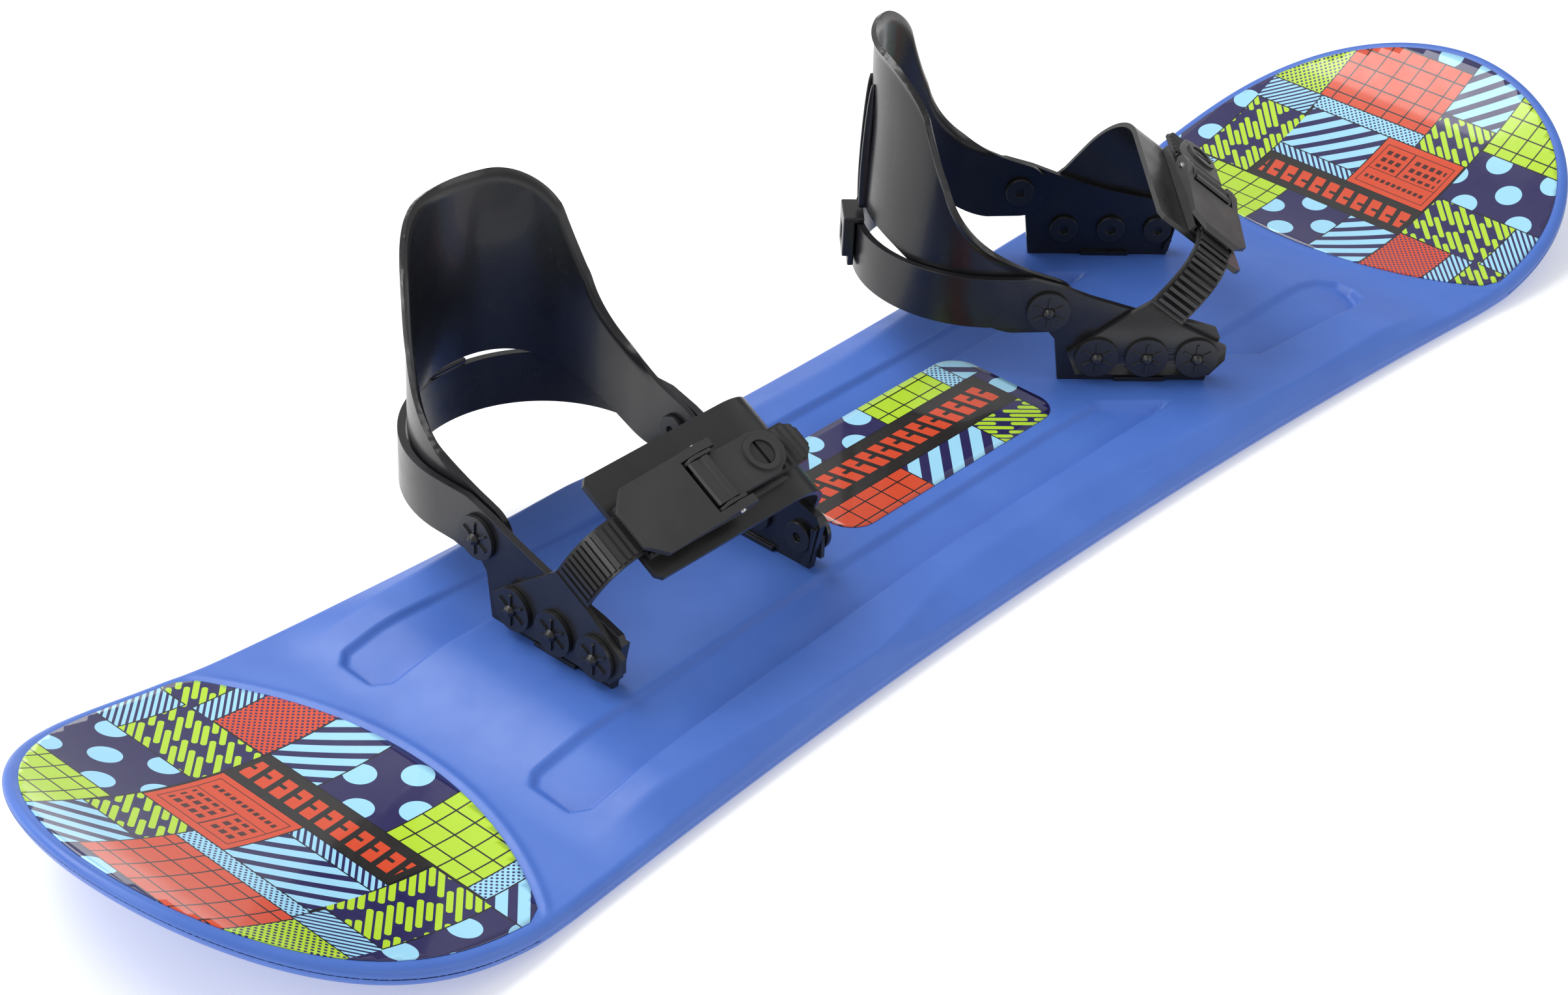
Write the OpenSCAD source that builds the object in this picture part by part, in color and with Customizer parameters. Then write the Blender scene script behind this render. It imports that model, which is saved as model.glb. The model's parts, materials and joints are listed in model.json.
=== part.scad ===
// Small snowboard with two identical strap bindings, one square to the board, one turned 45 degrees.
// Origin: middle of the board's length and width, on the flat middle of its underside.
// +X runs along the board, +Y towards the heel edge, +Z up.

/* [Board] */
// Length of the board, tip to tip
board_length = 950; // [930:5:980]
// Width at the waist
waist_width = 190; // [184:2:200]
// Width at the widest point of nose and tail
tip_width = 221; // [214:1:230]
// Thickness of the board
board_thickness = 9.5; // [9:0.5:12]
// Height of the raised middle platform above the nose and tail
platform_rise = 7; // [5:0.5:9]
// Rise of the tips above the flat
tip_rise = 51.7; // [44:0.1:58]
// Depth of the long grooves
groove_depth = 4.5; // [3:0.5:5]

/* [Stickers] */
// Thickness of the stickers
sticker_thickness = 0.4; // [0.3:0.1:0.6]
// Blue margin between a tip sticker and the board's edge
sticker_margin = 6; // [5:0.5:9]

/* [Stance] */
// Distance of the rear binding from the middle
rear_offset = 162.5; // [158:0.5:165]
// Distance of the front binding from the middle
front_offset = 169.3; // [167:0.1:173]
// Angle of the front binding to the rear one
front_angle = 45; // [40:1:48]

/* [Binding frame] */
// Overall width over the two rails
frame_width = 125; // [124:0.5:126]
// Wall of the heel loop and the rails
frame_wall = 3.5; // [3.2:0.1:3.6]
// Height of the heel loop's lower edge over the board
loop_bottom = 28; // [27:0.5:30]
// Height of the heel loop's upper edge over the board
loop_top = 54; // [53:0.5:55]
// Height of the pivot over the board
pivot_height = 37.7; // [37:0.1:38.5]

/* [Highback] */
// Height of the highback's top over the board
back_height = 150; // [142:1:160]
// Half width of the highback near its top
back_half_width = 46; // [42:1:48]
// Wall of the highback
back_wall = 2.8; // [2.4:0.1:3]

/* [Straps] */
// Height of the rear strap in its own tilted frame
rear_strap_height = 57; // [55:1:60]
// Height of the front strap in its own tilted frame
front_strap_height = 63; // [61:1:65]
// Backward tilt of the rear strap
rear_strap_tilt = 30; // [28:1:32]
// Backward tilt of the front strap
front_strap_tilt = 38; // [36:1:40]
// Width of the ladder
ladder_width = 20; // [18:1:21]
// Pitch of the ladder's teeth
tooth_pitch = 4; // [3.5:0.5:5]

/* [Hidden] */
$fn = 64;
half_length = board_length / 2;
waist_half = waist_width / 2;
tip_half = tip_width / 2;
wide_x = 0.7274 * half_length;
nose_start = 0.668 * half_length;
deck_top = board_thickness;
rear_at = [-rear_offset, 4, deck_top];
front_at = [front_offset, 9.3, deck_top];
outer_x = frame_width / 2;
inner_x = outer_x - frame_wall;
loop_y = 70;
pivot_y = 44.5;
rail_heel = 37;
rail_toe = -34;
rivet_y = [20, -4, -28];
rivet_z = 15;
rivet_r = 2.8;
cap_r = 10.2;
cap_t = 2.2;
plate_t = 2.6;
soft_gap = 0.3;
back_gap = 0.7;
back_outer = inner_x - back_gap;
strap_y = [4, 9];
strap_z = 12;
strap_h = [rear_strap_height, front_strap_height];
strap_tilt = [rear_strap_tilt, front_strap_tilt];
pad_w0 = -22;
pad_w1 = 31;
pad_t = 2.6;
pad_end = -47;
pad_x = outer_x + soft_gap;
ladder_t = 1.8;
tooth_h = 1.2;
ladder_lift = pad_t + 2.3;
buckle_u = -5;
axle_u = 6;
axle_v = 10;
axle_r = 1.5;

// ---- board ----

function ease(t) = t <= 0 ? 0 : t >= 1 ? 1 : t * t * (3 - 2 * t);
function nose(x) = abs(x) <= nose_start ? 0
  : tip_rise * pow((abs(x) - nose_start) / (half_length - nose_start), 1.93);
function top_z(x) = board_thickness - platform_rise * ease((abs(x) - 248) / 54) + nose(x);

// plan outline, pulled in by the margin m
function side_half(x, m) = waist_half - m + (tip_half - waist_half) * pow(x / wide_x, 2);
function nose_pt(a, m) = [wide_x + (half_length - m - wide_x) * pow(sin(a), 2 / 2.69),
  (tip_half - m) * pow(cos(a), 2 / 1.91)];
function quarter(m) = concat([for (i = [0:14]) let (x = wide_x * i / 15) [x, side_half(x, m)]],
  [for (i = [0:29]) nose_pt(90 * i / 30, m)], [[half_length - m, 0]]);
function outline(m) = let (q = quarter(m), n = len(q)) concat(
  q, [for (i = [n - 2:-1:0]) [q[i][0], -q[i][1]]],
  [for (i = [1:n - 1]) [-q[i][0], -q[i][1]]], [for (i = [n - 2:-1:1]) [-q[i][0], q[i][1]]]);

function profile_x() = concat([for (i = [-26:-1]) -nose_start + (half_length - nose_start) * (i + 1) / 25],
  [for (i = [0:12]) -302 + 54 * i / 12], [for (i = [0:12]) 248 + 54 * i / 12],
  [for (i = [0:25]) nose_start + (half_length - nose_start) * i / 25]);

// slab that follows the board's side profile between two heights measured from its top
module profile_slab(low, high) {
  xs = profile_x();
  n = len(xs);
  rotate([90, 0, 0])
    linear_extrude(height = 240, center = true)
      polygon(concat([for (i = [0:n - 1]) [xs[i], top_z(xs[i]) + low]],
        [for (i = [n - 1:-1:0]) [xs[i], top_z(xs[i]) + high]]));
}

module groove_heel() {
  polygon([[-288, 48], [-288, 67], [-281, 73], [-262, 73], [-150, 65], [-40, 61], [60, 60],
    [176, 60], [193, 43], [150, 40], [60, 37], [-40, 37], [-150, 38], [-262, 41], [-281, 41]]);
}

module groove_toe() {
  polygon([[-288, -45], [-288, -68], [-281, -74], [-262, -74], [-150, -66], [-40, -61], [60, -60],
    [124, -60], [97, -34], [60, -33], [-40, -34], [-150, -36], [-262, -40], [-281, -40]]);
}

module groove_nose() {
  polygon([[160, -37], [190, -64], [262, -70], [278, -66], [284, -56], [284, -46], [276, -38], [262, -36]]);
}

module tab_slots(at, angle) {
  translate(at)
    rotate([0, 0, angle])
      for (side = [-1, 1])
        translate([side * (outer_x - frame_wall / 2), -2, 0])
          cube([frame_wall + 0.6, 25.6, 10], center = true);
}

module board_deck() {
  color([0.25, 0.38, 0.8])
    difference() {
      intersection() {
        translate([0, 0, -20])
          linear_extrude(height = 120)
            polygon(outline(0));
        profile_slab(-board_thickness, 0);
      }
      translate([0, 0, deck_top - groove_depth])
        linear_extrude(height = 20) {
          groove_heel();
          groove_toe();
          groove_nose();
        }
      tab_slots(rear_at, 0);
      tab_slots(front_at, front_angle);
    }
}

module tip_sticker(side) {
  color([0.6, 0.8, 0.3])
    intersection() {
      translate([0, 0, -20])
        linear_extrude(height = 120)
          polygon(outline(sticker_margin));
      profile_slab(0, sticker_thickness);
      translate([side * 487, 0, -20])
        cylinder(r = 181, h = 120, $fn = 180);
    }
}

module tail_sticker() {
  tip_sticker(-1);
}

module nose_sticker() {
  tip_sticker(1);
}

module centre_sticker() {
  color([0.6, 0.8, 0.3])
    translate([5, 7, deck_top])
      linear_extrude(height = sticker_thickness) {
        square([150, 39], center = true);
        square([122, 67], center = true);
        for (sx = [-1, 1], sy = [-1, 1])
          translate([sx * 61, sy * 19.5])
            circle(r = 14);
      }
}

// ---- one binding, toe towards -Y, standing on z = 0 ----

// U shaped wall that lies between two distances from the loop's middle line
module u_wall(r_out, r_in, y0, z0, z1) {
  translate([0, 0, z0])
    linear_extrude(height = z1 - z0)
      difference() {
        union() {
          translate([0, loop_y])
            circle(r = r_out, $fn = 128);
          translate([-r_out, y0])
            square([2 * r_out, loop_y - y0]);
        }
        translate([0, loop_y])
          circle(r = r_in, $fn = 128);
        translate([-r_in, y0 - 1])
          square([2 * r_in, loop_y - y0 + 1]);
        translate([-r_out - 1, y0 - 200])
          square([2 * r_out + 2, 200]);
      }
}

// rail seen from the side, drawn in the y-z plane
module rail_side() {
  polygon([[rail_toe, 0], [-14.5, 0], [-14.5, -4.4], [10.5, -4.4], [10.5, 0], [rail_heel, 0],
    [rail_heel + 3, 22], [rail_heel + 8, loop_bottom], [150, loop_bottom], [150, loop_top],
    [52, loop_top], [38, 50], [24, 44.5], [0, 37], [-26, 31.5], [-37, 28], [-39, 24]]);
}

module in_rail_plane(x0, t) {
  translate([x0, 0, 0])
    rotate([90, 0, 90])
      linear_extrude(height = t)
        children();
}

module frame() {
  color([0.06, 0.06, 0.07])
    difference() {
      union() {
        intersection() {
          u_wall(outer_x, inner_x, -60, -20, 80);
          in_rail_plane(-80, 160)
            rail_side();
        }
        for (side = [-1, 1])
          translate([side * (outer_x - frame_wall / 2), -2, 1.3])
            cube([frame_wall + 3.6, 24, 2.2], center = true);
        for (x0 = [-inner_x - 0.4, inner_x - 2.6])
          in_rail_plane(x0, 3)
            polygon([[-34.2, 3], [-38, 23], [-35.7, 23], [-35.6, 15], [-35.2, 12], [-33, 8.6], [-31.4, 3]]);
      }
      for (y = rivet_y)
        translate([0, y, rivet_z])
          rotate([0, 90, 0])
            cylinder(r = rivet_r + 0.1, h = 200, center = true);
      translate([0, pivot_y, pivot_height])
        rotate([0, 90, 0])
          cylinder(r = rivet_r + 0.1, h = 200, center = true);
    }
}

function bez(a, b, c, d, t) = pow(1 - t, 3) * a + 3 * pow(1 - t, 2) * t * b
  + 3 * (1 - t) * t * t * c + t * t * t * d;

// highback seen from the side: arm, sweep and back edge
module back_side() {
  arm = 14.5;
  polygon(concat(
    arc_pts(pivot_y, pivot_height, arm, 270, 101, 16),
    [for (i = [1:18]) bez([42, 52], [69, 60], [93, 72], [98, 104], i / 18)],
    [for (i = [1:6]) bez([98, 104], [101, 122], [104, 145], [112, 185], i / 6)],
    [[160, 185], [160, 45]],
    [for (i = [0:10]) bez([130, 61], [108, 60], [84, 25], [60, 22.2], i / 10)]));
}

// highback seen from the front
module back_front() {
  r = 27;
  hull() {
    for (side = [-1, 1])
      translate([side * (back_half_width - r), back_height - r])
        circle(r = r);
    translate([-back_half_width, 116])
      square([2 * back_half_width, 4]);
  }
  translate([-80, 0])
    square([160, 117]);
}

module highback() {
  color([0.05, 0.05, 0.06])
    difference() {
      union() {
        intersection() {
          u_wall(back_outer, back_outer - back_wall, 20, 0, 200);
          in_rail_plane(-80, 160)
            back_side();
          translate([0, 200, 0])
            rotate([90, 0, 0])
              linear_extrude(height = 200)
                back_front();
        }
        intersection() {
          translate([-7, loop_y + back_outer - 2, loop_top + 4.3])
            cube([14, 5.8, back_height - loop_top - 22]);
          difference() {
            translate([-8, 100, 0])
              cube([16, 60, 200]);
            translate([0, loop_y, -1])
              cylinder(r = back_outer - 1, h = 300, $fn = 128);
            translate([-4, loop_y + back_outer + 0.8, 0])
              cube([8, 20, 300]);
          }
        }
      }
      translate([0, pivot_y, pivot_height])
        rotate([0, 90, 0])
          cylinder(r = rivet_r + 0.1, h = 200, center = true);
    }
}

// block that hooks over the heel loop and stops the highback leaning back
module lean_clip() {
  color([0.06, 0.06, 0.07])
    difference() {
      translate([-10, loop_y + inner_x - 0.6, loop_bottom + 3])
        cube([20, frame_wall + 6.6, loop_top - loop_bottom]);
      translate([-11, 100, loop_bottom])
        cube([22, loop_y + outer_x + 0.2 - 100, loop_top + 0.2 - loop_bottom]);
      translate([-11, loop_y + outer_x + 3.2, loop_bottom])
        cube([22, 20, 8]);
      translate([-4, loop_y + outer_x + 2.6, loop_bottom + 12])
        cube([8, 20, 9]);
    }
}

// barrel rivet lying along X: inner head at -x side of the wall, tip outside
module rivet_pin(grip) {
  rotate([0, 90, 0]) {
    difference() {
      translate([0, 0, -2.4])
        cylinder(r = 7.2, h = 2.4);
      translate([0, 0, -2.5])
        cylinder(r = 2.2, h = 2);
    }
    translate([0, 0, -0.1])
      cylinder(r = rivet_r, h = grip + cap_t + 1.1);
    translate([0, 0, grip + cap_t + 1])
      cylinder(r1 = rivet_r, r2 = 1.4, h = 2);
  }
}

// large washer head pressed on the outside end of a rivet
module rivet_cap() {
  rotate([0, 90, 0])
    difference() {
      union() {
        cylinder(r = cap_r, h = cap_t);
        for (a = [0:60:300])
          rotate([0, 0, a])
            translate([rivet_r + 0.3, -0.6, 0])
              cube([4.6, 1.2, cap_t + 0.9]);
      }
      translate([0, 0, -1])
        cylinder(r = rivet_r + 0.05, h = 20);
    }
}

module pivot_rivets() {
  color([0.08, 0.08, 0.09])
    for (side = [-1, 1])
      scale([side, 1, 1])
        translate([back_outer - back_wall - 0.2, pivot_y, pivot_height])
          rivet_pin(frame_wall + back_gap + back_wall + 0.4);
}

module pivot_caps() {
  color([0.08, 0.08, 0.09])
    for (side = [-1, 1])
      scale([side, 1, 1])
        translate([outer_x + 0.2, pivot_y, pivot_height])
          rivet_cap();
}

module rail_rivets() {
  color([0.08, 0.08, 0.09])
    for (side = [-1, 1], y = rivet_y)
      scale([side, 1, 1])
        translate([inner_x - 0.05, y, rivet_z])
          rivet_pin(frame_wall + soft_gap + plate_t + 0.35);
}

module rail_caps() {
  color([0.08, 0.08, 0.09])
    for (side = [-1, 1], y = rivet_y)
      scale([side, 1, 1])
        translate([outer_x + soft_gap + plate_t + 0.3, y, rivet_z])
          rivet_cap();
}

// A strap is drawn in a tilted frame: first axis across the foot, second up the strap, third along its
// width towards the toe. b is 0 for the rear binding and 1 for the front one.
module strap_frame(b) {
  translate([0, strap_y[b], strap_z])
    rotate([90 + strap_tilt[b], 0, 0])
      children();
}

module in_strap(b, w0, w1) {
  strap_frame(b)
    translate([0, 0, -w1])
      linear_extrude(height = w1 - w0)
        children();
}

// point of the strap frame seen in the rail's plane
function rail_pt(b, w, h) = [strap_y[b] + w * cos(strap_tilt[b]) - h * sin(strap_tilt[b]),
  strap_z + w * sin(strap_tilt[b]) + h * cos(strap_tilt[b])];

function arc_pts(cx, cy, r, a0, a1, n) = [for (i = [0:n]) let (a = a0 + (a1 - a0) * i / n)
  [cx + r * cos(a), cy + r * sin(a)]];
function unit(v) = v / norm(v);
function left_dir(p, i) = let (n = len(p), d = unit(p[min(i + 1, n - 1)] - p[max(i - 1, 0)])) [-d[1], d[0]];
// closed band that follows a path between two distances to its left
function band(p, low, high) = concat([for (i = [0:len(p) - 1]) p[i] + low * left_dir(p, i)],
  [for (i = [len(p) - 1:-1:0]) p[i] + high * left_dir(p, i)]);

// underside of the pad, from the far rail over the foot to its free end
function pad_path(b) = concat([[pad_x, 16]], arc_pts(pad_x - 28, strap_h[b] - 28, 28, 0, 90, 16),
  [[pad_end, strap_h[b]]]);

// underside of the ladder, from the near rail up and through the buckle
function ladder_path(b) = let (e = strap_h[b] + ladder_lift) concat(
  [[-pad_x, 16], [-pad_x, 24]],
  [for (i = [1:16]) bez([-pad_x, 26], [-pad_x - 1, 46], [-62, e - 1], [-44, e], i / 16)],
  [[-36, e], [57, e]]);

module rivet_holes() {
  for (y = rivet_y)
    translate([0, y, rivet_z])
      rotate([0, 90, 0])
        cylinder(r = rivet_r + 0.1, h = 200, center = true);
}

module toe_pad(b) {
  color([0.07, 0.07, 0.08])
    difference() {
      union() {
        in_strap(b, pad_w0, pad_w1)
          polygon(band(pad_path(b), -pad_t, 0));
        in_rail_plane(pad_x + 0.1, pad_t - 0.2)
          polygon([[-37, 5], [29, 5], [34, 14], rail_pt(b, pad_w1 + 1.5, 12), rail_pt(b, pad_w1 - 1, 25),
            rail_pt(b, pad_w0 + 1, 25), [-37, 16]]);
      }
      rivet_holes();
      for (w = [pad_w0, pad_w1])
        strap_frame(b)
          translate([pad_end, strap_h[b], -w])
            rotate([0, w > 0 ? 45 : -45, 0])
              cube([4, 10, 4], center = true);
    }
}

module ladder(b) {
  p = ladder_path(b);
  e = strap_h[b] + ladder_lift + ladder_t;
  color([0.07, 0.07, 0.08])
    difference() {
      union() {
        in_strap(b, -ladder_width / 2, ladder_width / 2)
          polygon(band(p, 0, ladder_t));
        in_rail_plane(-pad_x - pad_t, pad_t)
          polygon([[-35, 4.5], [29, 4.5], [34, 16], rail_pt(b, ladder_width / 2 + 2, 27),
            rail_pt(b, ladder_width / 2, 33), rail_pt(b, -ladder_width / 2, 33), [-42, 20], [-42, 13]]);
        for (i = [4:17])
          strap_frame(b)
            translate([p[i][0], p[i][1], 0])
              rotate([0, 0, atan2(left_dir(p, i)[1], left_dir(p, i)[0]) - 90])
                translate([-0.9, ladder_t - 0.3, -ladder_width / 2 + 1.2])
                  cube([1.8, tooth_h + 0.3, ladder_width - 2.4]);
        for (x = [-34:tooth_pitch:54])
          in_strap(b, -ladder_width / 2 + 1.2, ladder_width / 2 - 1.2)
            polygon([[x - 1.4, e - 0.3], [x + 0.9, e - 0.3], [x + 0.9, e + tooth_h], [x + 0.2, e + tooth_h]]);
      }
      rivet_holes();
      for (w = [-ladder_width / 2, ladder_width / 2])
        strap_frame(b)
          translate([57, strap_h[b] + ladder_lift, -w])
            rotate([0, 45, 0])
              cube([8, 10, 8], center = true);
    }
}

// buckle frame: first axis along the ladder, second away from the pad, third along the strap's width
module buckle_frame(b) {
  strap_frame(b)
    translate([buckle_u, strap_h[b] + pad_t, 0])
      children();
}

module slab(b, w0, w1) {
  buckle_frame(b)
    translate([0, 0, -w1])
      linear_extrude(height = w1 - w0)
        children();
}

module buckle_base(b) {
  color([0.06, 0.06, 0.07])
    union() {
      slab(b, -12.8, 12.8)
        translate([-40, 0.1])
          square([82, 1.7]);
      for (side = [-1, 1])
        slab(b, side * 12.05 - 0.75, side * 12.05 + 0.75)
          difference() {
            polygon([[-40, 0.1], [42, 0.1], [42, 3.2], [14, 5], [11, 13], [2, 13.6], [-1, 12.4], [-3.6, 9], [-4.6, 6],
              [-9, 5.4], [-40, 4.4]]);
            translate([axle_u, axle_v])
              circle(r = axle_r + 0.1);
          }
    }
}

module lever(b) {
  color([0.06, 0.06, 0.07])
    difference() {
      union() {
        slab(b, -17, 17)
          polygon([[-44, 6.6], [-20, 7.6], [-5, 8.6], [-5, 11.6], [-12, 11.4], [-42, 9.2], [-44, 8.2]]);
        for (side = [-1, 1])
          slab(b, side * 15.1 - 1.9, side * 15.1 + 1.9)
            difference() {
              union() {
                polygon([[-20, 7.6], [axle_u, 6.2], [axle_u + 6, 6.6], [axle_u + 10, 9.4], [axle_u + 8, 12.6],
                  [axle_u, 13.6], [-5, 11.6], [-20, 10.4]]);
              }
              translate([axle_u, axle_v])
                circle(r = axle_r + 0.1);
            }
      }
      for (side = [-1, 1])
        buckle_frame(b)
          translate([-44, 8, side * 17])
            rotate([0, 45, 0])
              cube([11, 20, 11], center = true);
    }
}

module release_tongue(b) {
  color([0.06, 0.06, 0.07])
    difference() {
      union() {
        slab(b, -10.8, 10.8) {
          translate([axle_u, axle_v])
            circle(r = 3.4);
          polygon([[-3.4, 12], [-2.6, 13.2], [4, 12.4], [10, 10.4], [18, 11.6], [18, 8.2], [10, 7.4], [4, 7.4]]);
        }
        buckle_frame(b)
          translate([0, 8.2, 0])
            rotate([-90, 0, 0])
              linear_extrude(height = 3.4)
                polygon([[17, -10.8], [34, -10.8], [41, -7], [44, -2], [44, 4], [41, 8.5], [34, 10.8], [17, 10.8]]);
        buckle_frame(b)
          translate([32, 8.2, 0])
            rotate([-90, 0, 0])
              cylinder(r = 8.4, h = 4.6);
      }
      buckle_frame(b)
        translate([32, 9.6, 0])
          rotate([-90, 0, 0])
            cylinder(r = 6, h = 10);
      slab(b, -20, 20)
        translate([axle_u, axle_v])
          circle(r = axle_r + 0.1);
    }
}

module slotted_stud(b) {
  color([0.07, 0.07, 0.08])
    buckle_frame(b)
      translate([32, 9.6, 0])
        rotate([-90, 0, 0])
          difference() {
            cylinder(r = 5.9, h = 2.4);
            translate([-0.8, -10, 1.2])
              cube([1.6, 20, 5]);
          }
}

module axle_pin(b) {
  color([0.7, 0.7, 0.72])
    slab(b, -17.6, 17.6)
      translate([axle_u, axle_v])
        circle(r = axle_r);
}

module at_rear() {
  translate(rear_at)
    children();
}

module at_front() {
  translate(front_at)
    rotate([0, 0, front_angle])
      children();
}

module rear_frame() {
  at_rear()
    frame();
}

module rear_highback() {
  at_rear()
    highback();
}

module rear_lean_clip() {
  at_rear()
    lean_clip();
}

module rear_pivot_rivets() {
  at_rear()
    pivot_rivets();
}

module rear_pivot_caps() {
  at_rear()
    pivot_caps();
}

module rear_rail_rivets() {
  at_rear()
    rail_rivets();
}

module rear_rail_caps() {
  at_rear()
    rail_caps();
}

module rear_ladder() {
  at_rear()
    ladder(0);
}

module rear_toe_pad() {
  at_rear()
    toe_pad(0);
}

module rear_buckle_base() {
  at_rear()
    buckle_base(0);
}

module rear_buckle_lever() {
  at_rear()
    lever(0);
}

module rear_release_tongue() {
  at_rear()
    release_tongue(0);
}

module rear_slotted_stud() {
  at_rear()
    slotted_stud(0);
}

module rear_axle_pin() {
  at_rear()
    axle_pin(0);
}

module front_frame() {
  at_front()
    frame();
}

module front_highback() {
  at_front()
    highback();
}

module front_lean_clip() {
  at_front()
    lean_clip();
}

module front_pivot_rivets() {
  at_front()
    pivot_rivets();
}

module front_pivot_caps() {
  at_front()
    pivot_caps();
}

module front_rail_rivets() {
  at_front()
    rail_rivets();
}

module front_rail_caps() {
  at_front()
    rail_caps();
}

module front_ladder() {
  at_front()
    ladder(1);
}

module front_toe_pad() {
  at_front()
    toe_pad(1);
}

module front_buckle_base() {
  at_front()
    buckle_base(1);
}

module front_buckle_lever() {
  at_front()
    lever(1);
}

module front_release_tongue() {
  at_front()
    release_tongue(1);
}

module front_slotted_stud() {
  at_front()
    slotted_stud(1);
}

module front_axle_pin() {
  at_front()
    axle_pin(1);
}

board_deck();
tail_sticker();
nose_sticker();
centre_sticker();
rear_frame();
rear_highback();
rear_lean_clip();
rear_pivot_rivets();
rear_pivot_caps();
rear_rail_rivets();
rear_rail_caps();
rear_ladder();
rear_toe_pad();
rear_buckle_base();
rear_buckle_lever();
rear_release_tongue();
rear_slotted_stud();
rear_axle_pin();
front_frame();
front_highback();
front_lean_clip();
front_pivot_rivets();
front_pivot_caps();
front_rail_rivets();
front_rail_caps();
front_ladder();
front_toe_pad();
front_buckle_base();
front_buckle_lever();
front_release_tongue();
front_slotted_stud();
front_axle_pin();
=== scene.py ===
"""Looks of a small snowboard with two strap bindings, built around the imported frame.

Metres are used for every mesh; the board and its stickers are worked out in millimetres first.
"""

import json
import math

import bmesh
import bpy
import numpy as np
from mathutils import Matrix, Vector


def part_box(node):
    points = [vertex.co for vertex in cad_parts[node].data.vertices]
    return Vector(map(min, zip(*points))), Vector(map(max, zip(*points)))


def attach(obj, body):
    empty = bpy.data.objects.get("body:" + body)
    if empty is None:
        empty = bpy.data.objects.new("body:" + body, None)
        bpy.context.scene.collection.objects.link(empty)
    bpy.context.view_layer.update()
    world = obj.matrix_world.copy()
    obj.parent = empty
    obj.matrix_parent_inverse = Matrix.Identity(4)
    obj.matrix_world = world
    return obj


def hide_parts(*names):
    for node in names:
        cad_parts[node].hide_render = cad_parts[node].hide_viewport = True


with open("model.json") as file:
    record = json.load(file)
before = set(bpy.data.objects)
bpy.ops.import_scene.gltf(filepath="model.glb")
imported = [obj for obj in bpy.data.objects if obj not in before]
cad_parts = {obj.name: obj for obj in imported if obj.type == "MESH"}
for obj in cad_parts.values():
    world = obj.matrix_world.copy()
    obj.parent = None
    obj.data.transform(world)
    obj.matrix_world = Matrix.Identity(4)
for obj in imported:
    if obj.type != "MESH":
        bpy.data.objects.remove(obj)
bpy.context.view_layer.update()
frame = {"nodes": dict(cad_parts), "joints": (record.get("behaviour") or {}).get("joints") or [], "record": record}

MM = 0.001
nodes = frame["nodes"]
body_of_node = {n: b for b, names in frame["record"]["behaviour"]["bodies"].items() for n in names}
slot_of_node = {s["node"]: s["material_slot"] for s in frame["record"]["subparts"]}


def srgb(red, green, blue):
    """Linear colour of an 8-bit sRGB one."""
    def linear(value):
        value /= 255
        return value / 12.92 if value <= 0.04045 else ((value + 0.055) / 1.055) ** 2.4

    return (linear(red), linear(green), linear(blue), 1.0)


BLUE = srgb(69, 108, 193)
NAVY = srgb(40, 36, 88)
ICE = srgb(160, 218, 246)
LIME = srgb(182, 220, 52)
RED = srgb(214, 76, 44)
INK = srgb(22, 20, 24)


# ---- materials ----


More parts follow.
